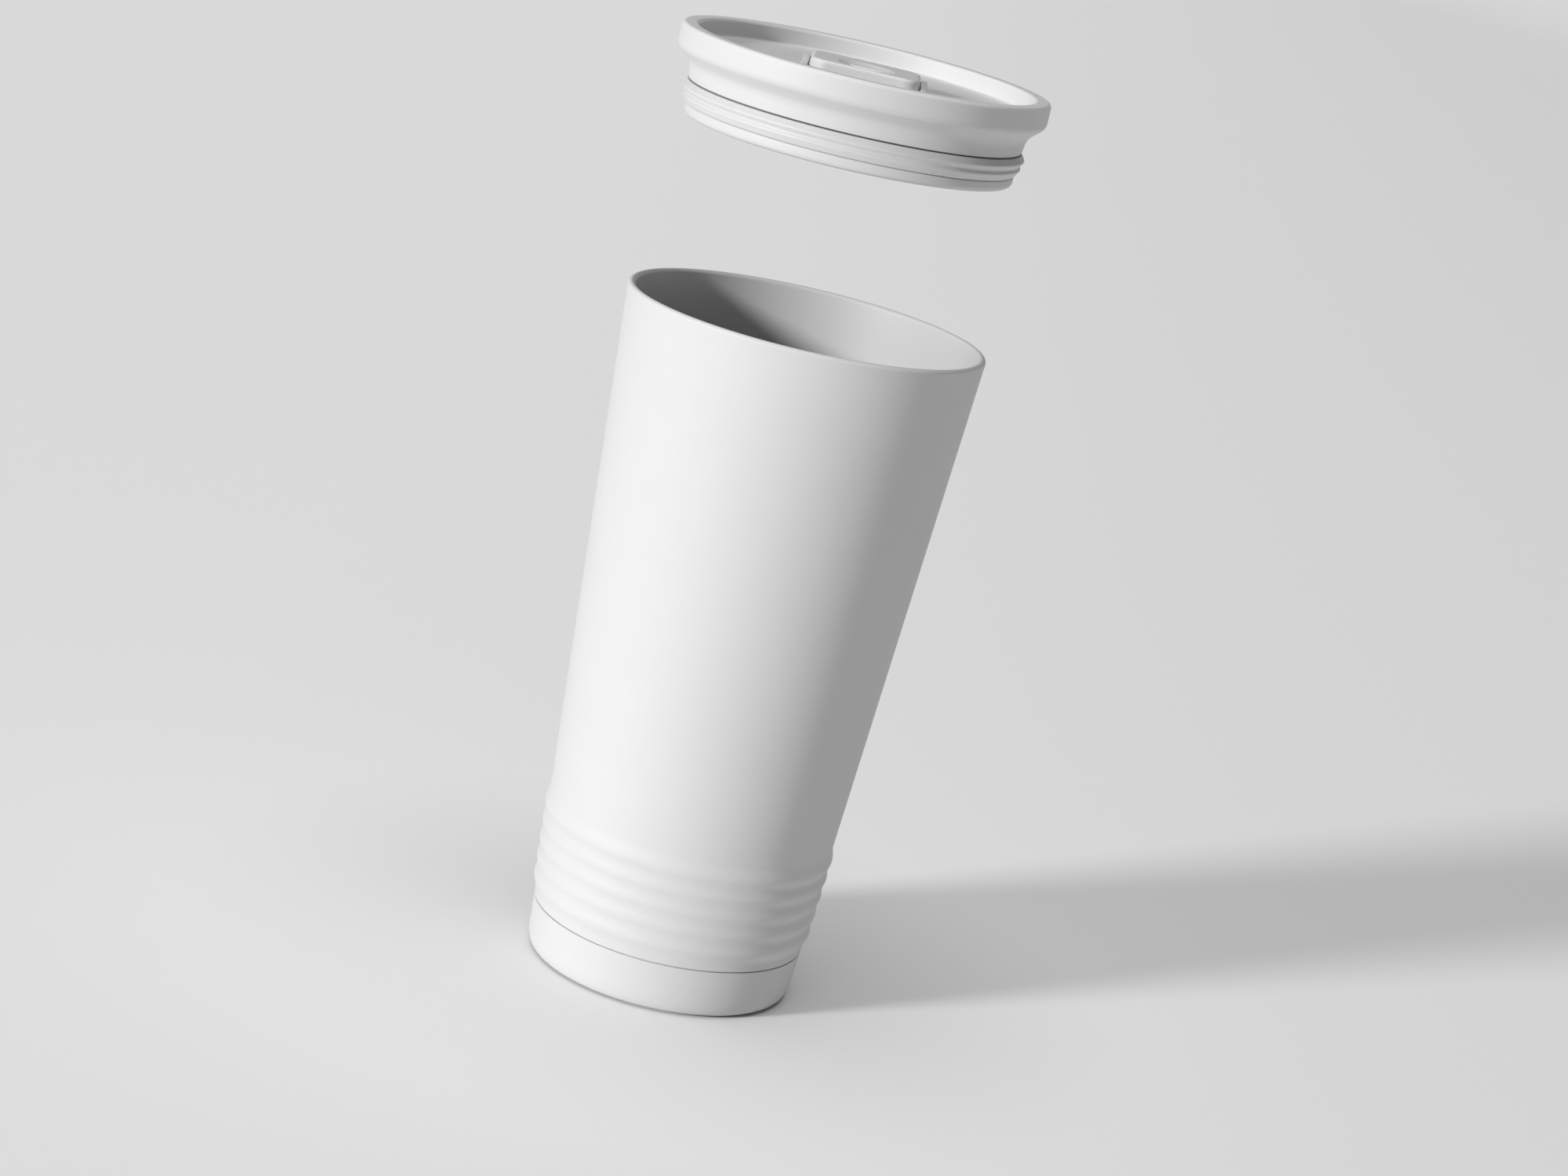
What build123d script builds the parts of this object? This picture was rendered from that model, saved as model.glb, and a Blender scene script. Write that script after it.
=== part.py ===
from build123d import *
import math
import os

# An insulated drinks tumbler with a push-in lid, in millimetres. The axis is Z and the base stands on z = 0.
# The lid is drawn from its own lowest edge, h = 0, and is then raised to where it rests, lifted clear.

# Tumbler, outside
rim_z = 168.4
rim_r = 43.9
taper = math.tan(math.radians(3.62))
seam_z = 12.9
seam_gap = 0.3
sheet = 0.6
lip_thick = 1.9
weld_depth = 2.6

# Grip ribs rolled into the outer shell
rib_count = 5
rib_pitch = 4.88
top_rib_z = 37.3
rib_crest = 0.8
rib_valley = 0.36
rib_lead_in = 3.6
rib_lead_out = 3.2

# Inner liner
neck_depth = 25.0
neck_step_length = 11.0
liner_offset = 4.4
liner_floor_z = 14.0
liner_corner_r = 12.0

# Base
spigot_inset = 1.0
spigot_bottom_z = 5.6
base_edge_w = 1.9
base_edge_h = 4.7
base_foot_z = 0.4
pad_r = 27.6
pad_thick = 1.7
pad_groove_pitch = 6.0
pad_groove_count = 3
plate_z = 5.9
plate_flange_h = 4.0
port_r = 4.0
port_depth = 1.2
port_hole_r = 0.9
getter_r = 7.0
getter_thick = 1.4
getter_x = 15.0

# Lid
lid_travel = 55.0
seated_rim_h = 13.45
lid_top_h = 21.2
flange_r = 44.5
flange_corner_h = 15.6
flange_edge_r = 0.9
flange_lower_edge_r = 2.2
neck_cove_r = 4.5
neck_bottom_h = 8.45
neck_bottom_r = 40.25
neck_top_h = 12.2
neck_top_r = 40.75
collar_r = 38.5
collar_top_h = 12.0
part_clearance = 0.1
deck_top_h = 17.0
deck_thick = 2.0
recess_r = 40.4
plug_lip_r = 39.75
plug_lip_h = 2.85
plug_mouth_r = 38.0
plug_inner_r = 36.7
ceiling_h = 8.3
ceiling_thick = 1.6

# Lid gasket
gasket_bottom_h = 2.95
gasket_top_h = 8.1
gasket_root_r = 39.85
gasket_top_r = 40.4
wiper_r = 41.3
wiper_h = 6.6
valley_r = 40.5
valley_h = 5.4
second_wiper_r = 40.85
second_wiper_h = 4.6

# Sip opening and its magnetic slider
sip_length = 20.0
sip_width = 8.0
sip_corner_r = 2.0
sip_y = -27.0
duct_wall = 1.4
vent_y = 30.0
vent_r = 1.2
slider_length = 20.0
slider_width = 26.0
slider_height = 3.7
slider_lift = 0.3
slider_open_y = -9.0
slider_travel = 16.0
slider_corner_r = 4.0
scoop_r = 22.0
scoop_depth = 1.1
ridge_count = 3
ridge_pitch = 2.6
ridge_r = 0.55
rail_gap = 0.35
rail_width = 1.6
rail_height = 2.2
rail_front_y = -38.5
magnet_r = 3.0
magnet_thick = 1.6
magnet_x = 8.0
magnet_back = 7.0
pocket_clearance = 0.05

lid_rest_z = rim_z - seated_rim_h + lid_travel


def cone_r(z):
    """Radius of the tumbler's outside at height z, without the ribs."""
    return rim_r - taper * (rim_z - z)


def wall_point(z, inset=0.0):
    """A point of the profile at height z, inset from the outside cone."""
    return (cone_r(z) - inset, z)


def turned(*edges):
    """A solid of revolution about Z from a closed profile drawn as (radius, height)."""
    return revolve(Plane.XZ * make_face(list(edges)), Axis.Z)


def rib_points(inset):
    """Crests and valleys of the grip ribs from the top down, inset from the outside."""
    points = [wall_point(top_rib_z + rib_lead_in, inset)]
    for index in range(rib_count):
        crest_z = top_rib_z - index * rib_pitch
        points.append(wall_point(crest_z, inset - rib_crest))
        if index < rib_count - 1:
            points.append(wall_point(crest_z - rib_pitch / 2, inset - rib_valley))
    bottom_rib_z = top_rib_z - (rib_count - 1) * rib_pitch
    points.append(wall_point(bottom_rib_z - rib_lead_out, inset))
    return points


def rib_wave(inset):
    down = (-taper, -1.0)
    return Spline(*rib_points(inset), tangents=(down, down))


def outer_shell():
    lip_r = rim_r - lip_thick / 2
    lip_z = rim_z - lip_thick / 2
    weld_z = rim_z - weld_depth
    outside_ribs = rib_wave(0.0)
    inside_ribs = rib_wave(sheet)
    lip = CenterArc((lip_r, lip_z), lip_thick / 2, 0, 90)
    flank = Line(lip @ 0, outside_ribs @ 0)
    skirt = Polyline(
        outside_ribs @ 1,
        wall_point(seam_z),
        wall_point(seam_z, spigot_inset),
        wall_point(spigot_bottom_z, spigot_inset),
        wall_point(spigot_bottom_z, spigot_inset + sheet),
        wall_point(seam_z + sheet, spigot_inset + sheet),
        wall_point(seam_z + 2 * sheet, sheet),
        inside_ribs @ 1,
    )
    weld = Polyline(inside_ribs @ 0, wall_point(weld_z, sheet), (lip_r, weld_z), lip @ 1)
    return turned(lip, flank, outside_ribs, skirt, inside_ribs, weld)


def liner_inside(offset):
    """Inside or hidden face of the liner, from under the lip to the floor on the axis."""
    neck_z = rim_z - neck_depth
    step_z = neck_z - neck_step_length
    floor_z = liner_floor_z - offset
    corner_z = liner_floor_z + liner_corner_r
    corner_r = cone_r(corner_z) - liner_offset - liner_corner_r
    down = (-taper, -1.0)
    step = Spline(
        wall_point(neck_z, lip_thick - offset),
        wall_point(step_z, liner_offset - offset),
        tangents=(down, down),
    )
    corner = RadiusArc(
        wall_point(corner_z, liner_offset - offset),
        (corner_r, floor_z),
        liner_corner_r + offset,
    )
    wall = Line(step @ 1, corner @ 0)
    floor = Line(corner @ 1, (0, floor_z))
    return step, wall, corner, floor


def inner_liner():
    lip_r = rim_r - lip_thick / 2
    lip_z = rim_z - lip_thick / 2
    weld_z = rim_z - weld_depth
    lip = CenterArc((lip_r, lip_z), lip_thick / 2, 90, 90)
    inside = liner_inside(0.0)
    hidden = liner_inside(sheet)
    neck = Line(lip @ 1, inside[0] @ 0)
    axis_line = Line(inside[3] @ 1, hidden[3] @ 1)
    back = Polyline(hidden[0] @ 0, wall_point(weld_z, lip_thick - sheet), (lip_r, weld_z), lip @ 0)
    return turned(lip, neck, *inside, axis_line, *hidden, back)


def bottom_plate():
    """Drawn steel plate that closes the vacuum space, with a dimple for the pump-out port."""
    edge_r = cone_r(plate_z) - spigot_inset - sheet - part_clearance
    top_z = plate_z + plate_flange_h
    plate = turned(
        Polyline(
            (0, plate_z + port_depth),
            (port_r, plate_z + port_depth),
            (port_r + port_depth, plate_z),
            (edge_r, plate_z),
            (edge_r, top_z),
            (edge_r - sheet, top_z),
            (edge_r - sheet, plate_z + sheet),
            (port_r + port_depth + sheet / 2, plate_z + sheet),
            (port_r + sheet / 2, plate_z + port_depth + sheet),
            (0, plate_z + port_depth + sheet),
            close=True,
        )
    )
    return plate - Pos(0, 0, plate_z) * Cylinder(port_hole_r, 3 * port_depth + 2 * sheet)


def vacuum_seal():
    """Bead of sealing glass melted into the port's dimple."""
    top_z = plate_z + port_depth
    low_z = plate_z + part_clearance
    bead_r = port_r - sheet
    dome_r = (bead_r**2 + (top_z - low_z) ** 2) / (2 * (top_z - low_z))
    dome_angle = math.degrees(math.asin(bead_r / dome_r))
    dome = CenterArc((0, low_z + dome_r), dome_r, 270, dome_angle)
    return turned(dome, Polyline(dome @ 1, (0, top_z), dome @ 0))


def getter():
    getter_z = plate_z + sheet + getter_thick / 2
    disc = Pos(getter_x, 0, getter_z) * Cylinder(getter_r, getter_thick)
    return fillet(disc.edges().group_by(Axis.Z)[-1], getter_thick / 4)


def base_cap():
    """Pressed cap that closes the bottom, flush with the shell, with a pocket for the pad."""
    top_z = seam_z - seam_gap
    edge_z = base_foot_z + base_edge_h
    foot_r = cone_r(edge_z) - base_edge_w
    pocket_r = pad_r + part_clearance
    pocket_z = pad_thick
    edge = EllipticalCenterArc((foot_r, edge_z), base_edge_w, base_edge_h, 270, arc_size=90)
    inner_edge_r = cone_r(edge_z) - sheet - part_clearance
    outline = Polyline(
        edge @ 1,
        wall_point(top_z),
        wall_point(top_z, sheet),
        (inner_edge_r, edge_z),
        (foot_r - sheet / 2, base_foot_z + sheet),
        (pocket_r + sheet, base_foot_z + sheet),
        (pocket_r + sheet, pocket_z + sheet),
        (0, pocket_z + sheet),
        (0, pocket_z),
        (pocket_r, pocket_z),
        (pocket_r, base_foot_z),
        edge @ 0,
    )
    return turned(edge, outline)


def base_pad():
    """Soft non-slip pad with ring grooves in its underside."""
    pad = Pos(0, 0, pad_thick / 2) * Cylinder(pad_r, pad_thick)
    for index in range(pad_groove_count):
        ring_r = pad_r - (index + 1) * pad_groove_pitch
        pad -= Torus(ring_r, sheet / 2)
    return pad


def lid_cap_body():
    """Flange, neck and deck of the lid's upper shell."""
    deck_low_h = deck_top_h - deck_thick
    outline = Polyline(
        (neck_bottom_r, neck_bottom_h),
        (neck_top_r, neck_top_h),
        (flange_r, flange_corner_h),
        (flange_r, lid_top_h),
        (recess_r, lid_top_h),
        (recess_r, deck_top_h),
        (0, deck_top_h),
        (0, deck_low_h),
        (collar_r + part_clearance, deck_low_h),
        (collar_r + part_clearance, neck_bottom_h),
        close=True,
    )
    body = turned(outline)
    body = soften(body, flange_r, lid_top_h, flange_edge_r)
    body = soften(body, flange_r, flange_corner_h, flange_lower_edge_r)
    body = soften(body, neck_top_r, neck_top_h, neck_cove_r)
    body = soften(body, recess_r, lid_top_h, flange_edge_r)
    return soften(body, neck_bottom_r, neck_bottom_h, flange_edge_r / 3)


def soften(body, radius, height, fillet_r):
    """Rounds the circular edge of the given radius and height."""
    for ring in body.edges().filter_by(GeomType.CIRCLE):
        near = abs(ring.radius - radius) < 1e-3 and abs(ring.center().Z - height) < 1e-3
        if near:
            return fillet([ring], fillet_r)
    raise ValueError("no such edge")


def sip_hole(grow, low, high):
    """A prism of the sip opening's outline, grown by the given wall, between two heights."""
    outline = RectangleRounded(sip_length + 2 * grow, sip_width + 2 * grow, sip_corner_r + grow)
    return Pos(0, sip_y, low) * extrude(outline, high - low)


def post(x, y, radius, low, high):
    return Pos(x, y, (low + high) / 2) * Cylinder(radius, high - low)


def magnet_places():
    """Centres of the lid's four magnets: a pair where the slider is open, a pair where it is shut."""
    open_y = slider_open_y + magnet_back
    places = []
    for y in (open_y, open_y - slider_travel):
        for x in (-magnet_x, magnet_x):
            places.append((x, y))
    return places


def slider_rails():
    """Low guides on the deck at both sides of the slider, and a stop behind it."""
    inner_x = slider_width / 2 + rail_gap
    back_y = slider_open_y + slider_length / 2 + rail_gap
    length = back_y + rail_width - rail_front_y
    rail = Box(rail_width, length, rail_height, align=(Align.MIN, Align.MIN, Align.MIN))
    stop = Box(2 * inner_x, rail_width, rail_height, align=(Align.CENTER, Align.MIN, Align.MIN))
    right = Pos(inner_x, rail_front_y, deck_top_h) * rail
    left = Pos(-inner_x - rail_width, rail_front_y, deck_top_h) * rail
    return right + left + Pos(0, back_y, deck_top_h) * stop


def lid_cap():
    deck_low_h = deck_top_h - deck_thick
    boss_low_h = deck_low_h - magnet_thick - part_clearance
    ceiling_top_h = ceiling_h + ceiling_thick
    cap = lid_cap_body() + slider_rails()
    cap += sip_hole(duct_wall, ceiling_top_h, deck_low_h)
    cap += post(0, vent_y, vent_r + duct_wall, ceiling_top_h, deck_low_h)
    for x, y in magnet_places():
        cap += post(x, y, magnet_r + duct_wall, boss_low_h, deck_low_h)
    for x, y in magnet_places():
        cap -= post(x, y, magnet_r + pocket_clearance, boss_low_h, deck_low_h)
    cap -= sip_hole(0.0, ceiling_top_h, deck_top_h)
    cap -= post(0, vent_y, vent_r, ceiling_top_h, deck_top_h)
    return cap


def lid_plug():
    """Lower shell of the lid: lip, gasket seat, collar and the ceiling under the air space."""
    lip_edge_r = 1.4
    mouth_edge_r = 0.5
    ceiling_top_h = ceiling_h + ceiling_thick
    outline = Polyline(
        (plug_mouth_r, 0),
        (plug_lip_r, 0),
        (plug_lip_r, plug_lip_h),
        (collar_r, plug_lip_h),
        (collar_r, collar_top_h),
        (collar_r - ceiling_thick, collar_top_h),
        (collar_r - ceiling_thick, ceiling_top_h),
        (0, ceiling_top_h),
        (0, ceiling_h),
        (plug_inner_r, ceiling_h),
        close=True,
    )
    plug = turned(outline)
    plug = soften(plug, plug_lip_r, 0, lip_edge_r)
    plug = soften(plug, plug_mouth_r, 0, mouth_edge_r)
    plug = soften(plug, plug_lip_r, plug_lip_h, mouth_edge_r)
    plug = soften(plug, plug_inner_r, ceiling_h, lip_edge_r)
    plug -= sip_hole(0.0, ceiling_h, ceiling_top_h)
    return plug - post(0, vent_y, vent_r, ceiling_h, ceiling_top_h)


def lid_gasket():
    """Soft ring with two wipers, between the neck and the plug's lip."""
    outside = Spline(
        (gasket_top_r, gasket_top_h),
        (wiper_r, wiper_h),
        (valley_r, valley_h),
        (second_wiper_r, second_wiper_h),
        (gasket_root_r, gasket_bottom_h),
        tangents=((1, -1), (0, -1), (0, -1), (0, -1), (-1, -1)),
    )
    frame = Polyline(
        outside @ 1,
        (collar_r, gasket_bottom_h),
        (collar_r, gasket_top_h),
        outside @ 0,
    )
    return turned(outside, frame)


def deck_magnets():
    low = deck_top_h - deck_thick - magnet_thick
    high = deck_top_h - deck_thick
    magnets = [post(x, y, magnet_r, low, high) for x, y in magnet_places()]
    return Compound(children=magnets)


def slider_magnet_posts(radius):
    low = deck_top_h + slider_lift
    y = slider_open_y + magnet_back
    return [post(x, y, radius, low, low + magnet_thick) for x in (-magnet_x, magnet_x)]


def sip_slider():
    """Sliding closure with a scooped thumb rest and three grip ridges."""
    low = deck_top_h + slider_lift
    outline = RectangleRounded(slider_width, slider_length, slider_corner_r)
    block = Pos(0, slider_open_y, low) * extrude(outline, slider_height)
    block = fillet(block.edges().group_by(Axis.Z)[-1], slider_height / 4)
    scoop_y = slider_open_y - slider_length / 8
    scoop_z = low + slider_height + scoop_r - scoop_depth
    scoop = Pos(0, scoop_y, scoop_z) * Sphere(scoop_r)
    block -= scoop
    for index in range(ridge_count):
        ridge_y = scoop_y + (index - 1) * ridge_pitch
        ridge_z = low + slider_height - scoop_depth
        ridge = Pos(0, ridge_y, ridge_z) * Rot(0, 90, 0) * Cylinder(ridge_r, slider_width / 3)
        block += fillet(ridge.edges(), 0.9 * ridge_r)
    for pocket in slider_magnet_posts(magnet_r + pocket_clearance):
        block -= pocket
    return block


def slider_magnets():
    return Compound(children=slider_magnet_posts(magnet_r))


def on_lid(part):
    return Pos(0, 0, lid_rest_z) * part


tumbler_parts = {
    "outer_shell": outer_shell(),
    "inner_liner": inner_liner(),
    "bottom_plate": bottom_plate(),
    "vacuum_seal": vacuum_seal(),
    "getter": getter(),
    "base_cap": base_cap(),
    "base_pad": base_pad(),
}
lid_parts = {
    "lid_cap": lid_cap(),
    "lid_plug": lid_plug(),
    "lid_gasket": lid_gasket(),
    "deck_magnets": deck_magnets(),
    "sip_slider": sip_slider(),
    "slider_magnets": slider_magnets(),
}

os.makedirs("parts", exist_ok=True)
for name, part in tumbler_parts.items():
    export_step(part, f"parts/{name}.step")
for name, part in lid_parts.items():
    export_step(on_lid(part), f"parts/{name}.step")
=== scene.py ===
import math

import bmesh
import bpy
from mathutils import Matrix, Vector


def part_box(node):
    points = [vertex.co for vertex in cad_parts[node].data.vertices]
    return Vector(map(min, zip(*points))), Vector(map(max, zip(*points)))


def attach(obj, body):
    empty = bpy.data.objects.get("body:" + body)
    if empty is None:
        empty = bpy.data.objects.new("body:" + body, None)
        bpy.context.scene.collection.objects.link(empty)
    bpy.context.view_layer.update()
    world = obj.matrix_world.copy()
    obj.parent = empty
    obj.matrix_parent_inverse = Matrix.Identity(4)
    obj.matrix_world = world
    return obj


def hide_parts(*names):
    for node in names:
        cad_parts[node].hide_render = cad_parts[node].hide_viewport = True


# The looks of an insulated drinks tumbler and its push-in lid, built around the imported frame.
# Sizes in this file are millimetres and become metres where a mesh or an object is made.

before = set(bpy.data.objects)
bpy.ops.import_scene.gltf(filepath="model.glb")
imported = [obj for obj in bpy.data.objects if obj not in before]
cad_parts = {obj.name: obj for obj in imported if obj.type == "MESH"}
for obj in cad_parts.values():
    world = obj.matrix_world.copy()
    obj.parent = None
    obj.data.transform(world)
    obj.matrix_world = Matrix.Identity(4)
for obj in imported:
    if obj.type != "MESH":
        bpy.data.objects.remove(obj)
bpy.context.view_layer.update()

MM = 0.001
TURN_STEPS = 288
SHARP_ANGLE = math.radians(32)
ON_AXIS_R = 1e-6
SMALLEST_CORNER_R = 0.05

# Distances for cleaning a mesh, in metres
MERGE_DISTANCE = 1e-7
SHORTEST_EDGE = 1e-8

# Sizes that come from the frame
RIM_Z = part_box("outer_shell")[1].z / MM
SPIGOT_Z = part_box("outer_shell")[0].z / MM
RIM_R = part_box("outer_shell")[1].x / MM
SEAM_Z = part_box("base_cap")[1].z / MM
FOOT_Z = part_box("base_cap")[0].z / MM
FLOOR_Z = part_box("inner_liner")[0].z / MM
PAD_TOP_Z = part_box("base_pad")[1].z / MM
LID_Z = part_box("lid_plug")[0].z / MM
LID_TOP_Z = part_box("lid_cap")[1].z / MM
FLANGE_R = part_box("lid_cap")[1].x / MM
SLIDER_LOW, SLIDER_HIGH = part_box("sip_slider")

# Tumbler profile
TAPER = math.tan(math.radians(3.62))
SHEET = 0.6
LIP_THICK = 1.9
WELD_DEPTH = 2.6
SEAM_GAP = 0.3
SEAM_DEPTH = 0.5
SEAM_EDGE = 0.12
SEAM_ROOT_GAP = 0.03
SPIGOT_INSET = 1.0
PART_CLEARANCE = 0.1
RIB_COUNT = 5
RIB_PITCH = 4.88
RIB_BELOW_RIM = 131.1
RIB_CREST = 0.8
RIB_VALLEY = 0.36
RIB_LEAD_IN = 3.6
RIB_LEAD_OUT = 3.2
NECK_DEPTH = 25.0
NECK_STEP = 11.0
LINER_OFFSET = 4.4
LINER_CORNER_R = 12.0
BASE_EDGE_W = 1.9
BASE_EDGE_H = 4.7
PAD_R = 27.6
PAD_EDGE_R = 0.3
PAD_GROOVES = 3
PAD_GROOVE_PITCH = 6.0
PAD_GROOVE_R = 0.3
POCKET_EDGE = 0.25

# Where a wall's straight stretch starts or stops, measured from the rim, the ribs, the liner's curves
# and the base's edge
LIP_BLEND = 3.0
RIB_BLEND = 1.0
LINER_BLEND = 4.0
BASE_BLEND = 0.8

# Lid profile, heights over the lid's lowest edge
FLANGE_CORNER_H = 15.6
FLANGE_LOW_EDGE_R = 2.2
FLANGE_TOP_EDGE_R = 1.0
FLANGE_DRAFT = 0.05
NECK_LOW = (40.25, 8.45)
NECK_LOW_EDGE_R = 0.25
NECK_HIGH = (40.75, 12.2)
NECK_COVE_R = 4.5
COLLAR_R = 38.5
COLLAR_TOP_H = 12.0
COLLAR_EDGE_R = 0.3
DECK_H = 17.0
DECK_THICK = 2.0
RECESS_R = 40.4
RECESS_TOP_EDGE_R = 0.9
RECESS_LOW_EDGE_R = 0.6
RECESS_DRAFT = 0.15
LIP_R = 39.75
LIP_H = 2.85
LIP_LOW_EDGE_R = 1.4
LIP_TOP_EDGE_R = 0.45
MOUTH_R = 38.0
MOUTH_EDGE_R = 0.3
PLUG_INNER_R = 36.7
CEILING_H = 8.3
CEILING_THICK = 1.6
CEILING_EDGE_R = 1.4

# Gasket profile: corners as (radius, height), before they are rounded
GASKET_LOW_H = 2.95
GASKET_TOP_H = 8.1
GASKET_ROOT_R = 39.85
GASKET_TOP_R = 40.45
GASKET_ROOT_EDGE_R = 0.12
GASKET_TOP_EDGE_R = 0.3
LOW_WIPER = (40.95, 4.6)
WIPER_VALLEY = (40.42, 5.45)
HIGH_WIPER = (41.45, 6.6)
WIPER_TIP_R = 0.5
WIPER_VALLEY_R = 0.4

# Sip opening, its slider and the vent
SIP_SIZE = (20.0, 8.0)
SIP_CORNER_R = 2.0
SIP_FLARE = 0.6
SIP_NO_FLARE = 0.0001
SIP_Y = -27.0
DUCT_WALL = 1.4
VENT_Y = 30.0
VENT_R = 1.2
RAIL_WIDTH = 1.6
RAIL_HEIGHT = 2.2
RAIL_FRONT_Y = -38.5
RAIL_GAP = 0.35
RAIL_CORNER_R = 0.5
RAIL_EDGE = 0.4
RAIL_EASE = 0.12
SLIDER_CORNER_R = 4.0
SLIDER_TOP_EDGE_R = 0.9
SLIDER_FOOT_EDGE = 0.25
SCOOP_R = 22.0
SCOOP_DEPTH = 1.1
SCOOP_HALF_ANGLE = 30
RIDGE_R = 0.55
RIDGE_PITCH = 2.6

# How far joined pieces sink into the deck, and how far cutters reach past what they cut
DECK_OVERLAP = 0.5
CUT_MARGIN = 1.0

# Camera: millimetres and degrees
CAMERA_LENS = 82.7
CAMERA_SENSOR = 36.0
CAMERA_BACK = 850.9
CAMERA_OVER_RIM = 149.75
CAMERA_YAW = -0.625
CAMERA_DOWN = 14.248
CAMERA_ROLL = 13.275


# ---------------------------------------------------------------- meshes

def cone_r(z, inset=0.0):
    """Radius of the tumbler's outside at height z, less an inset."""
    return RIM_R - TAPER * (RIM_Z - z) - inset


def arc(center, radius, start, end, steps):
    """Points of an arc in a (radius, height) profile, with angles in degrees."""
    points = []
    for index in range(steps + 1):
        angle = math.radians(start + (end - start) * index / steps)
        points.append((center[0] + radius * math.cos(angle), center[1] + radius * math.sin(angle)))
    return points


def rounded(corners, steps):
    """A closed outline from (x, y, corner radius), with each corner that has a radius rounded by an arc."""
    count = len(corners)
    outline = []
    for index, (x, y, radius) in enumerate(corners):
        here = Vector((x, y))
        before = Vector(corners[index - 1][:2]) - here
        after = Vector(corners[(index + 1) % count][:2]) - here
        if radius <= 0:
            outline.append((x, y))
            continue
        half = before.angle(after) / 2
        reach = radius / math.tan(half)
        start = here + before.normalized() * reach
        end = here + after.normalized() * reach
        inward = (before.normalized() + after.normalized()).normalized()
        middle = inward * (radius / math.sin(half)) + here
        first = start - middle
        turn = first.angle_signed(end - middle)
        for step in range(steps + 1):
            spoke = first.copy()
            spoke.rotate(Matrix.Rotation(-turn * step / steps, 2))
            outline.append(tuple(middle + spoke))
    return outline


def mesh_object(name, verts, faces):
    """An object in the scene from points in millimetres and faces."""
    mesh = bpy.data.meshes.new(name)
    mesh.from_pydata([tuple(c * MM for c in v) for v in verts], [], faces)
    mesh.validate()
    piece = bpy.data.objects.new(name, mesh)
    bpy.context.scene.collection.objects.link(piece)
    return tidy_mesh(piece)


def tidy_mesh(piece):
    """Merges doubled points, turns every face outwards and shades it smooth between sharp edges."""
    work = bmesh.new()
    work.from_mesh(piece.data)
    bmesh.ops.remove_doubles(work, verts=work.verts, dist=MERGE_DISTANCE)
    bmesh.ops.dissolve_degenerate(work, edges=work.edges, dist=SHORTEST_EDGE)
    bmesh.ops.recalc_face_normals(work, faces=work.faces)
    for face in work.faces:
        face.smooth = True
    work.to_mesh(piece.data)
    work.free()
    piece.data.set_sharp_from_angle(angle=SHARP_ANGLE)
    return piece


def lathe(name, outline, raised=0.0, steps=TURN_STEPS, closed=True):
    """Turns a (radius, height) outline about Z. Points on the axis become one point."""
    verts = []
    rings = []
    for radius, height in outline:
        if radius < ON_AXIS_R:
            rings.append([len(verts)])
            verts.append((0.0, 0.0, height + raised))
            continue
        rings.append(list(range(len(verts), len(verts) + steps)))
        for step in range(steps):
            angle = 2 * math.pi * step / steps
            verts.append((radius * math.cos(angle), radius * math.sin(angle), height + raised))
    faces = []
    pairs = list(zip(rings, rings[1:])) + ([(rings[-1], rings[0])] if closed else [])
    for low, high in pairs:
        if len(low) == 1 and len(high) == 1:
            continue
        for step in range(steps):
            ahead = (step + 1) % steps
            quad = [low[step % len(low)], low[ahead % len(low)]]
            quad += [high[ahead % len(high)], high[step % len(high)]]
            faces.append(list(dict.fromkeys(quad)))
    return mesh_object(name, verts, faces)


def prism(name, size, corner_r, levels, center=(0.0, 0.0), steps=12):
    """A block with a rounded-rectangle plan. Each level is (growth of the plan, height)."""
    verts = []
    rings = []
    for grow, height in levels:
        half_x = size[0] / 2 + grow
        half_y = size[1] / 2 + grow
        radius = max(corner_r + grow, SMALLEST_CORNER_R)
        plan = rounded([(half_x, half_y, radius), (-half_x, half_y, radius),
                        (-half_x, -half_y, radius), (half_x, -half_y, radius)], steps)
        rings.append(list(range(len(verts), len(verts) + len(plan))))
        verts += [(x + center[0], y + center[1], height) for x, y in plan]
    faces = [rings[0][::-1], rings[-1]]
    count = len(rings[0])
    for low, high in zip(rings, rings[1:]):
        for step in range(count):
            ahead = (step + 1) % count
            faces.append([low[step], low[ahead], high[ahead], high[step]])
    return mesh_object(name, verts, faces)


def combine(piece, tool, operation):
    """Joins or cuts the piece with a tool, and removes the tool."""
    step = piece.modifiers.new("combine", "BOOLEAN")
    step.operation = operation
    step.solver = "EXACT"
    step.object = tool
    depsgraph = bpy.context.evaluated_depsgraph_get()
    mesh = bpy.data.meshes.new_from_object(piece.evaluated_get(depsgraph))
    piece.modifiers.remove(step)
    old = piece.data
    piece.data = mesh
    mesh.name = old.name
    bpy.data.meshes.remove(old)
    bpy.data.objects.remove(tool)
    return tidy_mesh(piece)


def fit(piece, node, body, material):
    """Puts the piece in place of its CAD node, on that body and in that finish, with even shading."""
    piece.data.materials.clear()
    piece.data.materials.append(material)
    shading = piece.modifiers.new("even_shading", "WEIGHTED_NORMAL")
    shading.keep_sharp = True
    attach(piece, body)
    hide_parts(node)
    return piece


# ---------------------------------------------------------------- materials

def new_material(name, color, roughness, **sockets):
    material = bpy.data.materials.new(name)
    material.use_nodes = True
    shader = material.node_tree.nodes["Principled BSDF"]
    shader.inputs["Base Color"].default_value = (*color, 1.0)
    shader.inputs["Roughness"].default_value = roughness
    for socket, value in sockets.items():
        shader.inputs[socket.replace("_", " ")].default_value = value
    return material


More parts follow.
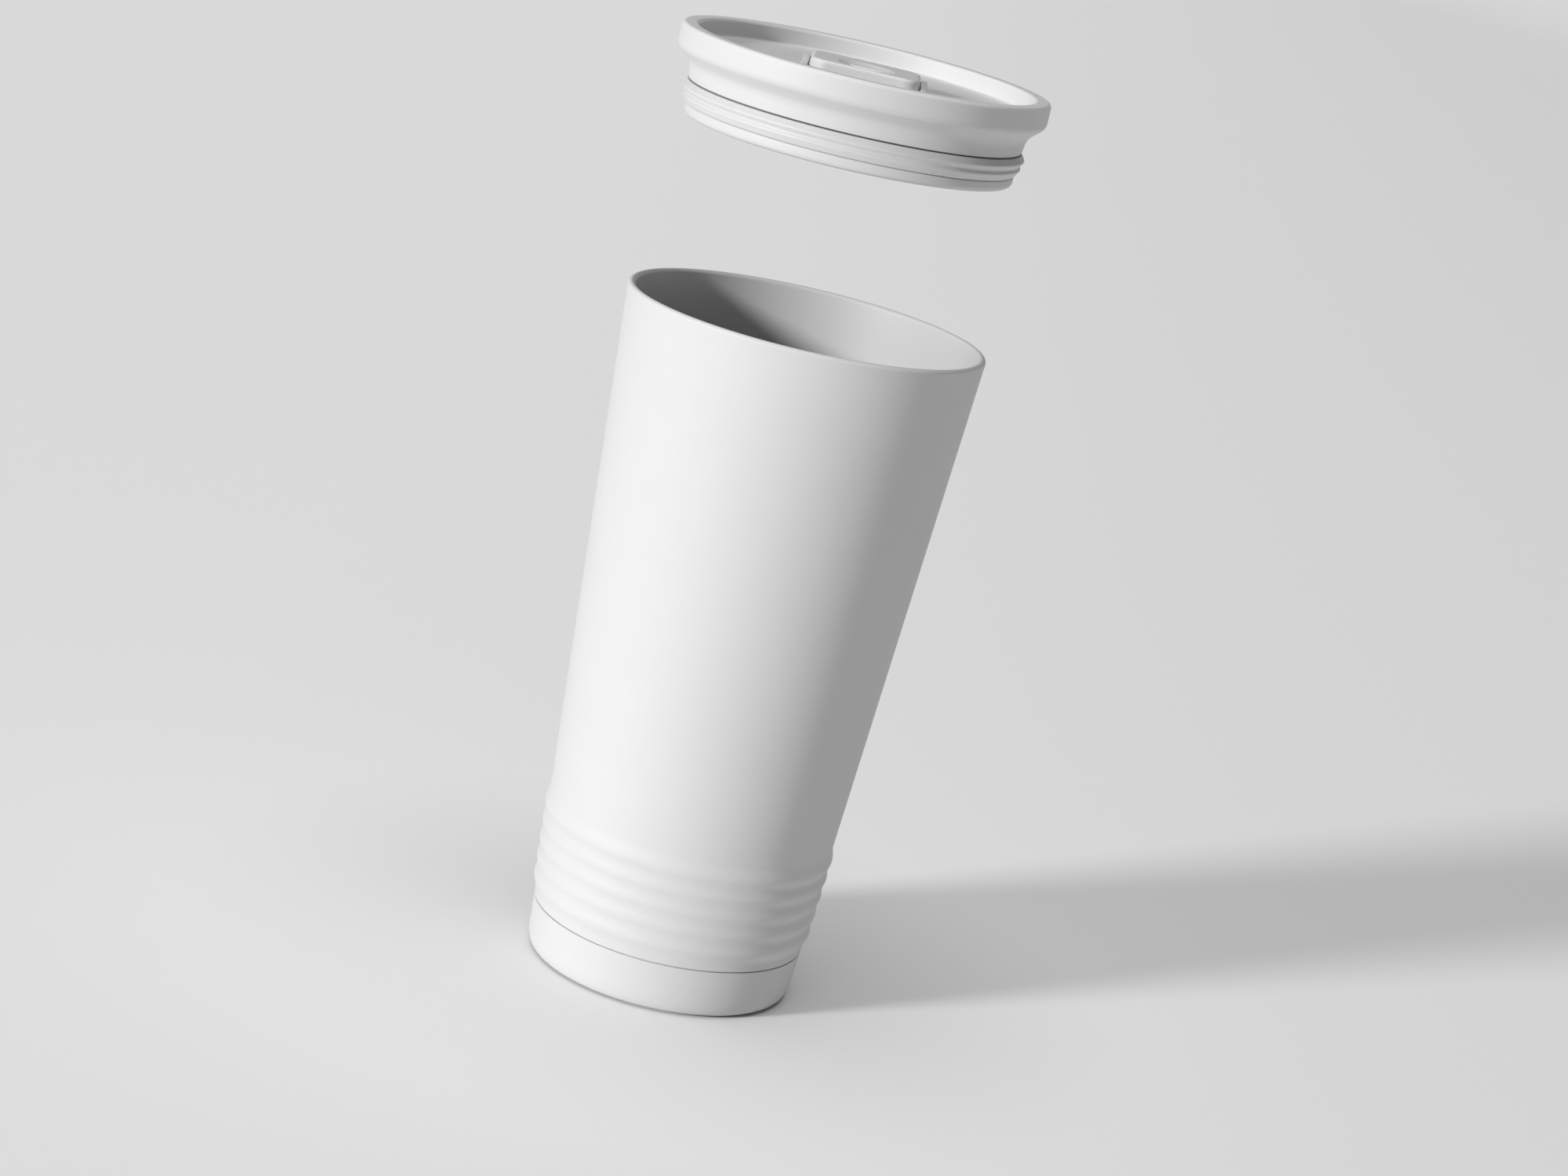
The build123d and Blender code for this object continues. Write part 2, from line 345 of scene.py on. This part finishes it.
def noise_node(material, scale_mm, stretch=(1.0, 1.0, 1.0), detail=4.0):
    """Noise with grains of the given size, fixed to the object, drawn out where the stretch is small."""
    nodes = material.node_tree.nodes
    links = material.node_tree.links
    place = nodes.new("ShaderNodeTexCoord")
    scale = nodes.new("ShaderNodeMapping")
    scale.inputs["Scale"].default_value = tuple(s / (scale_mm * MM) for s in stretch)
    links.new(place.outputs["Object"], scale.inputs["Vector"])
    noise = nodes.new("ShaderNodeTexNoise")
    noise.inputs["Scale"].default_value = 1.0
    noise.inputs["Detail"].default_value = detail
    links.new(scale.outputs["Vector"], noise.inputs["Vector"])
    return noise


def add_tint(material, noise, color, spread):
    """Varies the base colour a little around its value, by the noise."""
    nodes = material.node_tree.nodes
    links = material.node_tree.links
    ramp = nodes.new("ShaderNodeValToRGB")
    ramp.color_ramp.elements[0].position = 0.3
    ramp.color_ramp.elements[1].position = 0.7
    ramp.color_ramp.elements[0].color = (*(c * (1 - spread) for c in color), 1.0)
    ramp.color_ramp.elements[1].color = (*(c * (1 + spread) for c in color), 1.0)
    links.new(noise.outputs["Fac"], ramp.inputs["Fac"])
    links.new(ramp.outputs["Color"], nodes["Principled BSDF"].inputs["Base Color"])


def add_roughness(material, noise, low, high):
    """Varies the roughness between two values, by the noise."""
    nodes = material.node_tree.nodes
    links = material.node_tree.links
    spread = nodes.new("ShaderNodeMapRange")
    spread.inputs["To Min"].default_value = low
    spread.inputs["To Max"].default_value = high
    links.new(noise.outputs["Fac"], spread.inputs["Value"])
    links.new(spread.outputs["Result"], nodes["Principled BSDF"].inputs["Roughness"])


def add_bumps(material, layers):
    """Stacks bump layers, each a noise and the height of its relief in millimetres."""
    nodes = material.node_tree.nodes
    links = material.node_tree.links
    below = None
    for noise, relief in layers:
        bump = nodes.new("ShaderNodeBump")
        bump.inputs["Strength"].default_value = 1.0
        bump.inputs["Distance"].default_value = relief * MM
        links.new(noise.outputs["Fac"], bump.inputs["Height"])
        if below:
            links.new(below.outputs["Normal"], bump.inputs["Normal"])
        below = bump
    links.new(below.outputs["Normal"], nodes["Principled BSDF"].inputs["Normal"])


def powder_coat():
    """Baked matte powder: a fine orange peel with a finer grain on it."""
    color = (0.65, 0.65, 0.648)
    material = new_material("powder_coat_white", color, roughness=0.58, Specular_IOR_Level=0.35)
    peel = noise_node(material, scale_mm=0.9, detail=2.0)
    grain = noise_node(material, scale_mm=0.22, detail=3.0)
    cloud = noise_node(material, scale_mm=14.0, detail=3.0)
    add_tint(material, cloud, color, spread=0.006)
    add_roughness(material, grain, low=0.52, high=0.66)
    add_bumps(material, [(peel, 0.010), (grain, 0.006)])
    return material


def liner_coat_with_painted_shade():
    """Smooth coated inside of the cup, with faint turning marks around the axis. Its white is a little darker
    than the outer coat's, as painted shade for the inside of the cup.
    """
    # This white sits below the outer coat's 0.65: the same white coat, painted darker as shade for the inside
    # of the cup.
    color = (0.6, 0.6, 0.598)
    material = new_material("liner_coat_white", color, roughness=0.5, Specular_IOR_Level=0.4)
    marks = noise_node(material, scale_mm=1.1, stretch=(0.02, 0.02, 1.0), detail=3.0)
    grain = noise_node(material, scale_mm=0.3, detail=2.0)
    add_tint(material, marks, color, spread=0.006)
    add_roughness(material, grain, low=0.44, high=0.56)
    add_bumps(material, [(marks, 0.004), (grain, 0.004)])
    return material


def moulded_plastic(name, color, roughness, grain_mm, relief):
    """Injection moulded plastic with a fine spark-eroded texture."""
    material = new_material(name, color, roughness, Specular_IOR_Level=0.4)
    grain = noise_node(material, grain_mm, detail=3.0)
    flow = noise_node(material, scale_mm=9.0, detail=2.0)
    add_tint(material, flow, color, spread=0.006)
    add_roughness(material, grain, roughness - 0.06, roughness + 0.06)
    add_bumps(material, [(grain, relief)])
    return material


def silicone(name, color, roughness, glow):
    """Soft silicone: a slightly waxy surface that lets a little light in."""
    material = new_material(name, color, roughness, Specular_IOR_Level=0.45)
    shader = material.node_tree.nodes["Principled BSDF"]
    shader.inputs["Subsurface Weight"].default_value = glow
    shader.inputs["Subsurface Radius"].default_value = (1.0, 0.95, 0.9)
    shader.inputs["Subsurface Scale"].default_value = 0.8 * MM
    smear = noise_node(material, scale_mm=2.5, detail=3.0)
    grain = noise_node(material, scale_mm=0.18, detail=2.0)
    add_tint(material, smear, color, spread=0.01)
    add_roughness(material, smear, roughness - 0.05, roughness + 0.07)
    add_bumps(material, [(grain, 0.003)])
    return material


def metal(name, color, roughness, stretch, relief, grain_mm=0.5):
    """Bare metal with a fine grain, brushed where the grain is stretched."""
    material = new_material(name, color, roughness, Metallic=1.0)
    grain = noise_node(material, grain_mm, stretch=stretch, detail=4.0)
    add_tint(material, grain, color, spread=0.05)
    add_roughness(material, grain, roughness - 0.08, roughness + 0.1)
    add_bumps(material, [(grain, relief)])
    return material


def sealing_glass():
    """Dark glossy glass with a faint swirl."""
    color = (0.10, 0.12, 0.115)
    material = new_material("sealing_glass", color, roughness=0.12, Coat_Weight=0.5)
    swirl = noise_node(material, scale_mm=1.2, detail=3.0)
    add_tint(material, swirl, color, spread=0.2)
    add_bumps(material, [(swirl, 0.01)])
    return material


# ---------------------------------------------------------------- tumbler

def rib_relief(z):
    """How far the rolled grip ribs stand out of the cone at height z: an even wave with soft ends."""
    top = RIM_Z - RIB_BELOW_RIM
    bottom = top - (RIB_COUNT - 1) * RIB_PITCH
    if z > top:
        t = min((z - top) / RIB_LEAD_IN, 1.0)
        return RIB_CREST * (1 - t * t * (3 - 2 * t))
    if z < bottom:
        t = min((bottom - z) / RIB_LEAD_OUT, 1.0)
        return RIB_CREST * (1 - t * t * (3 - 2 * t))
    wave = 0.5 + 0.5 * math.cos(2 * math.pi * (top - z) / RIB_PITCH)
    return RIB_VALLEY + (RIB_CREST - RIB_VALLEY) * wave


def rib_wall(inset, steps=120):
    """The stretch of wall that carries the ribs, from the top down."""
    top = RIM_Z - RIB_BELOW_RIM + RIB_LEAD_IN
    bottom = RIM_Z - RIB_BELOW_RIM - (RIB_COUNT - 1) * RIB_PITCH - RIB_LEAD_OUT
    heights = [top + (bottom - top) * index / steps for index in range(steps + 1)]
    return [(cone_r(z, inset) + rib_relief(z), z) for z in heights]


def plain_wall(high, low, inset, steps):
    """A straight stretch of wall, cut into rings so that it shades evenly."""
    heights = [high + (low - high) * index / steps for index in range(steps + 1)]
    return [(cone_r(z, inset), z) for z in heights]


def outer_shell(material):
    """Outer wall with the lip, the ribs and the seam, whose groove is shallower than the spigot's inset."""
    lip_c = (RIM_R - LIP_THICK / 2, RIM_Z - LIP_THICK / 2)
    ribs_outside = rib_wall(0.0)
    ribs_inside = rib_wall(SHEET)[::-1]
    seam = SEAM_Z + SEAM_GAP
    root = SEAM_Z + SEAM_ROOT_GAP
    outline = arc(lip_c, LIP_THICK / 2, 90, 0, steps=16)
    outline += plain_wall(RIM_Z - LIP_BLEND, ribs_outside[0][1] + RIB_BLEND, 0.0, steps=60)
    outline += ribs_outside
    outline += [(cone_r(seam + SEAM_EDGE), seam + SEAM_EDGE), (cone_r(seam, SEAM_EDGE), seam)]
    outline += [(cone_r(seam, SEAM_DEPTH), seam), (cone_r(root, SEAM_DEPTH), root)]
    outline += [(cone_r(root, SPIGOT_INSET), root), (cone_r(SPIGOT_Z, SPIGOT_INSET), SPIGOT_Z)]
    outline += [(cone_r(SPIGOT_Z, SPIGOT_INSET + SHEET), SPIGOT_Z)]
    outline += [(cone_r(seam, SPIGOT_INSET + SHEET), seam + SHEET)]
    outline += [(cone_r(seam, SHEET), seam + 2 * SHEET)]
    outline += ribs_inside
    outline += [(cone_r(RIM_Z - WELD_DEPTH, SHEET), RIM_Z - WELD_DEPTH), (lip_c[0], RIM_Z - WELD_DEPTH)]
    piece = lathe("tumbler_shell", outline)
    return fit(piece, "outer_shell", "tumbler", material)


def liner_face(inset):
    """One face of the liner from under the lip down to the floor, inset outwards for the hidden face."""
    neck_z = RIM_Z - NECK_DEPTH
    floor_z = FLOOR_Z + SHEET - inset
    corner_z = FLOOR_Z + SHEET + LINER_CORNER_R
    corner_c = (cone_r(corner_z, LINER_OFFSET) - LINER_CORNER_R, corner_z)
    step_count = 12
    points = []
    for index in range(step_count + 1):
        t = index / step_count
        z = neck_z - NECK_STEP * t
        offset = LIP_THICK + (LINER_OFFSET - LIP_THICK) * t * t * (3 - 2 * t)
        points.append((cone_r(z, offset - inset), z))
    wall_top = neck_z - NECK_STEP - LINER_BLEND
    points += plain_wall(wall_top, corner_z + LINER_BLEND, LINER_OFFSET - inset, steps=24)
    points += arc(corner_c, LINER_CORNER_R + inset, 0, -90, steps=20)
    return points + [(0.0, floor_z)]


def inner_liner(material):
    """Inner cup from the middle of the lip down to the floor, with its hidden face."""
    lip_c = (RIM_R - LIP_THICK / 2, RIM_Z - LIP_THICK / 2)
    outline = arc(lip_c, LIP_THICK / 2, 90, 180, steps=16)
    outline += plain_wall(RIM_Z - LIP_BLEND, RIM_Z - NECK_DEPTH + LINER_BLEND, LIP_THICK, steps=8)
    outline += liner_face(0.0)
    outline += liner_face(SHEET)[::-1]
    outline += [(cone_r(RIM_Z - WELD_DEPTH, LIP_THICK - SHEET), RIM_Z - WELD_DEPTH)]
    outline += [(lip_c[0], RIM_Z - WELD_DEPTH)]
    piece = lathe("tumbler_liner", outline)
    return fit(piece, "inner_liner", "tumbler", material)


def base_cap(material):
    """Flush cap under the seam, with a rounded lower edge and a pocket for the pad."""
    edge_z = FOOT_Z + BASE_EDGE_H
    foot_r = cone_r(edge_z, BASE_EDGE_W)
    inner_r = cone_r(edge_z, SHEET + PART_CLEARANCE)
    pocket_r = PAD_R + PART_CLEARANCE
    edge_steps = 16
    outline = []
    for index in range(edge_steps + 1):
        angle = math.radians(-90 + 90 * index / edge_steps)
        outline.append((foot_r + BASE_EDGE_W * math.cos(angle), edge_z + BASE_EDGE_H * math.sin(angle)))
    outline += plain_wall(edge_z + BASE_BLEND, SEAM_Z - SEAM_EDGE, 0.0, steps=5)
    outline += [(cone_r(SEAM_Z, SEAM_EDGE), SEAM_Z), (cone_r(SEAM_Z, SHEET), SEAM_Z), (inner_r, edge_z)]
    outline += [(foot_r - SHEET / 2, FOOT_Z + SHEET), (pocket_r + SHEET, FOOT_Z + SHEET)]
    outline += [(pocket_r + SHEET, PAD_TOP_Z + SHEET), (0.0, PAD_TOP_Z + SHEET), (0.0, PAD_TOP_Z)]
    outline += [(pocket_r, PAD_TOP_Z), (pocket_r, FOOT_Z + POCKET_EDGE), (pocket_r + POCKET_EDGE, FOOT_Z)]
    piece = lathe("tumbler_base", outline)
    return fit(piece, "base_cap", "tumbler", material)


def base_pad(material):
    """Soft pad with round ring grooves in its underside."""
    outline = [(0.0, PAD_TOP_Z), (0.0, 0.0)]
    for index in range(PAD_GROOVES, 0, -1):
        ring_r = PAD_R - index * PAD_GROOVE_PITCH
        outline += arc((ring_r, 0.0), PAD_GROOVE_R, 180, 0, steps=10)
    outline += arc((PAD_R - PAD_EDGE_R, PAD_EDGE_R), PAD_EDGE_R, -90, 0, steps=5)
    outline += [(PAD_R, PAD_TOP_Z)]
    piece = lathe("tumbler_pad", outline)
    return fit(piece, "base_pad", "tumbler", material)


# ---------------------------------------------------------------- lid

def sip_cutter(low, high, flare):
    """The sip opening's prism, opening out in a quarter round at its upper end."""
    flare_steps = 8
    levels = [(0.0, LID_Z + low), (0.0, LID_Z + high - flare)]
    for index in range(1, flare_steps + 1):
        angle = math.radians(90 * index / flare_steps)
        levels.append((flare * (1 - math.cos(angle)), LID_Z + high - flare + flare * math.sin(angle)))
    levels.append((flare, LID_Z + high + CUT_MARGIN))
    return prism("sip_cutter", SIP_SIZE, SIP_CORNER_R, levels, (0.0, SIP_Y))


def vent_tube(name, radius, low, high):
    """A post where the vent is, between two heights over the lid's lowest edge."""
    points = [(0.0, low), (radius, low), (radius, high), (0.0, high)]
    piece = lathe(name, points, LID_Z, steps=48)
    piece.data.transform(Matrix.Translation((0.0, VENT_Y * MM, 0.0)))
    return piece


def rail(name, size, center):
    """A low guide on the deck with softened upper edges."""
    low = LID_Z + DECK_H - DECK_OVERLAP
    high = LID_Z + DECK_H + RAIL_HEIGHT
    levels = [(0.0, low), (0.0, high - RAIL_EDGE), (-RAIL_EASE, high - RAIL_EASE), (-RAIL_EDGE, high)]
    return prism(name, size, RAIL_CORNER_R, levels, center, steps=6)


def add_rails(cap):
    """Joins a rail at both sides of the slider and a stop behind it to the deck."""
    inner_x = SLIDER_HIGH.x / MM + RAIL_GAP
    back_y = SLIDER_HIGH.y / MM + RAIL_GAP
    length = back_y + RAIL_WIDTH - RAIL_FRONT_Y
    for side in (-1, 1):
        center = (side * (inner_x + RAIL_WIDTH / 2), RAIL_FRONT_Y + length / 2)
        cap = combine(cap, rail("rail", (RAIL_WIDTH, length), center), "UNION")
    stop = rail("stop", (2 * inner_x + RAIL_WIDTH, RAIL_WIDTH), (0.0, back_y + RAIL_WIDTH / 2))
    return combine(cap, stop, "UNION")


def lid_cap(material):
    """Flange, neck and deck of the lid, with the sip duct, the vent and the slider's rails."""
    top = LID_TOP_Z - LID_Z
    deck_low = DECK_H - DECK_THICK
    corners = [
        (*NECK_LOW, NECK_LOW_EDGE_R),
        (*NECK_HIGH, NECK_COVE_R),
        (FLANGE_R, FLANGE_CORNER_H, FLANGE_LOW_EDGE_R),
        (FLANGE_R - FLANGE_DRAFT, top, FLANGE_TOP_EDGE_R),
        (RECESS_R, top, RECESS_TOP_EDGE_R),
        (RECESS_R - RECESS_DRAFT, DECK_H, RECESS_LOW_EDGE_R),
        (0.0, DECK_H, 0.0),
        (0.0, deck_low, 0.0),
        (COLLAR_R + PART_CLEARANCE, deck_low, 0.0),
        (COLLAR_R + PART_CLEARANCE, NECK_LOW[1], 0.0),
    ]
    cap = lathe("lid_cap_shell", rounded(corners, steps=12), LID_Z)
    ceiling_top = CEILING_H + CEILING_THICK
    duct_levels = [(DUCT_WALL, LID_Z + ceiling_top), (DUCT_WALL, LID_Z + DECK_H - DECK_OVERLAP)]
    duct = prism("duct", SIP_SIZE, SIP_CORNER_R, duct_levels, (0.0, SIP_Y))
    cap = combine(cap, duct, "UNION")
    vent_wall = vent_tube("vent_wall", VENT_R + DUCT_WALL, ceiling_top, DECK_H - DECK_OVERLAP)
    cap = combine(cap, vent_wall, "UNION")
    cap = add_rails(cap)
    cap = combine(cap, sip_cutter(ceiling_top - CUT_MARGIN, DECK_H, SIP_FLARE), "DIFFERENCE")
    vent_drill = vent_tube("vent_drill", VENT_R, ceiling_top - CUT_MARGIN, DECK_H + CUT_MARGIN)
    cap = combine(cap, vent_drill, "DIFFERENCE")
    return fit(cap, "lid_cap", "lid", material)


def lid_plug(material):
    """Lower shell of the lid: the lip, the collar and the ceiling of the hollow."""
    ceiling_top = CEILING_H + CEILING_THICK
    corners = [
        (MOUTH_R, 0.0, MOUTH_EDGE_R),
        (LIP_R, 0.0, LIP_LOW_EDGE_R),
        (LIP_R, LIP_H, LIP_TOP_EDGE_R),
        (COLLAR_R, LIP_H, 0.0),
        (COLLAR_R, COLLAR_TOP_H, COLLAR_EDGE_R),
        (COLLAR_R - CEILING_THICK, COLLAR_TOP_H, COLLAR_EDGE_R),
        (COLLAR_R - CEILING_THICK, ceiling_top, 0.0),
        (0.0, ceiling_top, 0.0),
        (0.0, CEILING_H, 0.0),
        (PLUG_INNER_R, CEILING_H, CEILING_EDGE_R),
    ]
    plug = lathe("lid_plug_shell", rounded(corners, steps=12), LID_Z)
    cut_low = CEILING_H - CUT_MARGIN
    cut_high = ceiling_top + CUT_MARGIN
    plug = combine(plug, sip_cutter(cut_low, cut_high, SIP_NO_FLARE), "DIFFERENCE")
    plug = combine(plug, vent_tube("vent_drill", VENT_R, cut_low, cut_high), "DIFFERENCE")
    return fit(plug, "lid_plug", "lid", material)


def lid_gasket(material):
    """Ring with a tall upper wiper and a lower one under it."""
    corners = [
        (COLLAR_R, GASKET_LOW_H, 0.0),
        (GASKET_ROOT_R, GASKET_LOW_H, GASKET_ROOT_EDGE_R),
        (*LOW_WIPER, WIPER_TIP_R),
        (*WIPER_VALLEY, WIPER_VALLEY_R),
        (*HIGH_WIPER, WIPER_TIP_R),
        (GASKET_TOP_R, GASKET_TOP_H, GASKET_TOP_EDGE_R),
        (COLLAR_R, GASKET_TOP_H, 0.0),
    ]
    piece = lathe("lid_gasket_ring", rounded(corners, steps=12), LID_Z)
    return fit(piece, "lid_gasket", "lid", material)


def ridge(center_y, top_z, half_length, radius):
    """A slim grip ridge along X with rounded ends."""
    profile = arc((0.0, -half_length), radius, -90, 0, steps=6)
    profile += arc((0.0, half_length), radius, 0, 90, steps=6)
    points = [(max(r, 0.0), z) for r, z in profile]
    points[0] = (0.0, points[0][1])
    points[-1] = (0.0, points[-1][1])
    piece = lathe("ridge", points, 0.0, steps=24, closed=False)
    turn = Matrix.Rotation(math.pi / 2, 4, "Y")
    piece.data.transform(Matrix.Translation((0.0, center_y * MM, top_z * MM)) @ turn)
    return piece


def sip_slider(material):
    """Sliding closure with a scooped thumb rest and three grip ridges."""
    low = SLIDER_LOW.z / MM
    high = SLIDER_HIGH.z / MM
    size = ((SLIDER_HIGH.x - SLIDER_LOW.x) / MM, (SLIDER_HIGH.y - SLIDER_LOW.y) / MM)
    center_y = (SLIDER_HIGH.y + SLIDER_LOW.y) / 2 / MM
    edge = SLIDER_TOP_EDGE_R
    edge_steps = 10
    levels = [(-SLIDER_FOOT_EDGE, low), (0.0, low + SLIDER_FOOT_EDGE), (0.0, high - edge)]
    for index in range(1, edge_steps + 1):
        angle = math.radians(90 * index / edge_steps)
        levels.append((edge * (math.cos(angle) - 1), high - edge + edge * math.sin(angle)))
    block = prism("lid_slider", size, SLIDER_CORNER_R, levels, (0.0, center_y), steps=16)
    scoop_y = center_y - size[1] / 8
    dish = arc((0.0, 0.0), SCOOP_R, -90, SCOOP_HALF_ANGLE - 90, steps=40)
    bowl = lathe("scoop", dish + [(0.0, 0.0)], 0.0, steps=160)
    bowl.data.transform(Matrix.Translation((0.0, scoop_y * MM, (high + SCOOP_R - SCOOP_DEPTH) * MM)))
    block = combine(block, bowl, "DIFFERENCE")
    for index in (-1, 0, 1):
        grip = ridge(scoop_y + RIDGE_PITCH * index, high - SCOOP_DEPTH, size[0] / 6, RIDGE_R)
        block = combine(block, grip, "UNION")
    return fit(block, "sip_slider", "slider", material)


# ---------------------------------------------------------------- stage, light and camera

def studio_paper():
    """Pale matte paper, painted a little darker towards +X: painted shade standing in for the studio light
    falling off across the floor.
    """
    color = (0.93, 0.93, 0.93)
    # The stops darken the paper from full to 0.85 along X: painted shade for the light's falloff, not a
    # change in the paper.
    stops = ((0.0, 1.0), (0.33, 0.93), (1.0, 0.85))
    painted_falloff_shift = 150.0
    material = new_material("studio_paper", color, roughness=0.9, Specular_IOR_Level=0.2)
    nodes = material.node_tree.nodes
    links = material.node_tree.links
    place = nodes.new("ShaderNodeTexCoord")
    shift = nodes.new("ShaderNodeMapping")
    shift.inputs["Location"].default_value = (painted_falloff_shift * MM, 0.0, 0.0)
    painted_falloff = nodes.new("ShaderNodeTexGradient")
    ramp = nodes.new("ShaderNodeValToRGB")
    ramp.color_ramp.interpolation = "B_SPLINE"
    ramp.color_ramp.elements.new(stops[1][0])
    for element, (position, share) in zip(ramp.color_ramp.elements, stops):
        element.position = position
        element.color = (*(c * share for c in color), 1.0)
    links.new(place.outputs["Object"], shift.inputs["Vector"])
    links.new(shift.outputs["Vector"], painted_falloff.inputs["Vector"])
    links.new(painted_falloff.outputs["Fac"], ramp.inputs["Fac"])
    links.new(ramp.outputs["Color"], nodes["Principled BSDF"].inputs["Base Color"])
    return material


def studio_floor():
    """A pale floor that climbs far away, so that low views end in paper, with a soft band where it climbs."""
    flat_r = 5000.0
    bend_r = 7000.0
    far_r = 13500.0
    slope = 0.3
    bend_steps = 12
    points = [(radius, 0.0) for radius in (0.0, 600.0, 2000.0, flat_r)]
    for index in range(1, bend_steps + 1):
        t = index / bend_steps
        points.append((flat_r + (bend_r - flat_r) * t, slope * (bend_r - flat_r) * t * t / 2))
    points.append((far_r, points[-1][1] + slope * (far_r - bend_r)))
    floor = lathe("studio_floor", points, 0.0, steps=160, closed=False)
    floor.data.materials.append(studio_paper())


def soft_lamp(name, azimuth, elevation, energy, softness):
    """A soft distant lamp. Azimuth, to the camera's left, elevation and softness are degrees."""
    turn = math.radians(azimuth)
    rise = math.radians(elevation)
    toward = Vector((-math.sin(turn) * math.cos(rise), -math.cos(turn) * math.cos(rise), math.sin(rise)))
    lamp = bpy.data.lights.new(name, "SUN")
    lamp.energy = energy
    lamp.angle = math.radians(softness)
    light = bpy.data.objects.new(name, lamp)
    light.rotation_euler = toward.to_track_quat("Z", "Y").to_euler()
    bpy.context.scene.collection.objects.link(light)


def studio_light():
    """A low key from the front left, which reaches under the lid, a broad overhead and a faint fill."""
    soft_lamp("soft_key", azimuth=48.0, elevation=14.0, energy=2.96, softness=8.0)
    soft_lamp("soft_overhead", azimuth=0.0, elevation=88.0, energy=1.53, softness=40.0)
    world = bpy.data.worlds.new("studio_fill")
    world.use_nodes = True
    sky = world.node_tree.nodes["Background"]
    sky.inputs["Color"].default_value = (1.0, 1.0, 1.0, 1.0)
    sky.inputs["Strength"].default_value = 0.04
    bpy.context.scene.world = world


def camera():
    """Camera on the -Y side, above the rim, tipped and rolled so that the tumbler leans to the right."""
    lens = bpy.data.cameras.new("camera")
    lens.lens = CAMERA_LENS
    lens.sensor_width = CAMERA_SENSOR
    lens.clip_start = 10.0 * MM
    view = bpy.data.objects.new("camera", lens)
    place = Vector((0.0, -CAMERA_BACK * MM, (RIM_Z + CAMERA_OVER_RIM) * MM))
    yaw = Matrix.Rotation(math.radians(CAMERA_YAW), 4, "Z")
    pitch = Matrix.Rotation(math.radians(90.0 - CAMERA_DOWN), 4, "X")
    roll = Matrix.Rotation(math.radians(CAMERA_ROLL), 4, "Z")
    view.matrix_world = Matrix.Translation(place) @ yaw @ pitch @ roll
    bpy.context.scene.collection.objects.link(view)
    bpy.context.scene.camera = view


camera()
studio_light()
studio_floor()

powder = powder_coat()
outer_shell(powder)
inner_liner(liner_coat_with_painted_shade())
base_cap(powder)
base_pad(silicone("pad_silicone_white", (0.62, 0.62, 0.617), roughness=0.68, glow=0.05))

lid_white = moulded_plastic(
    "lid_plastic_white", (0.65, 0.65, 0.65), roughness=0.52, grain_mm=0.2, relief=0.006
)
slider_white = moulded_plastic(
    "slider_plastic_white", (0.64, 0.64, 0.64), roughness=0.44, grain_mm=0.3, relief=0.004
)
lid_cap(lid_white)
lid_plug(lid_white)
lid_gasket(silicone("gasket_silicone_white", (0.66, 0.66, 0.657), roughness=0.46, glow=0.12))
sip_slider(slider_white)

along_y = (1.0, 0.05, 0.05)
even = (1.0, 1.0, 1.0)
hidden_finishes = {
    "bottom_plate": metal(
        "brushed_steel", (0.60, 0.60, 0.61), roughness=0.34, stretch=along_y, relief=0.004
    ),
    "getter": metal(
        "getter_metal", (0.30, 0.30, 0.32), roughness=0.6, stretch=even, relief=0.02, grain_mm=0.3
    ),
    "vacuum_seal": sealing_glass(),
    "deck_magnets": metal("nickel_plate", (0.72, 0.70, 0.66), roughness=0.22, stretch=even, relief=0.002),
}
hidden_finishes["slider_magnets"] = hidden_finishes["deck_magnets"]
for node, finish in hidden_finishes.items():
    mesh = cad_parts[node].data
    mesh.materials.clear()
    mesh.materials.append(finish)

bpy.context.scene.view_settings.view_transform = "Standard"
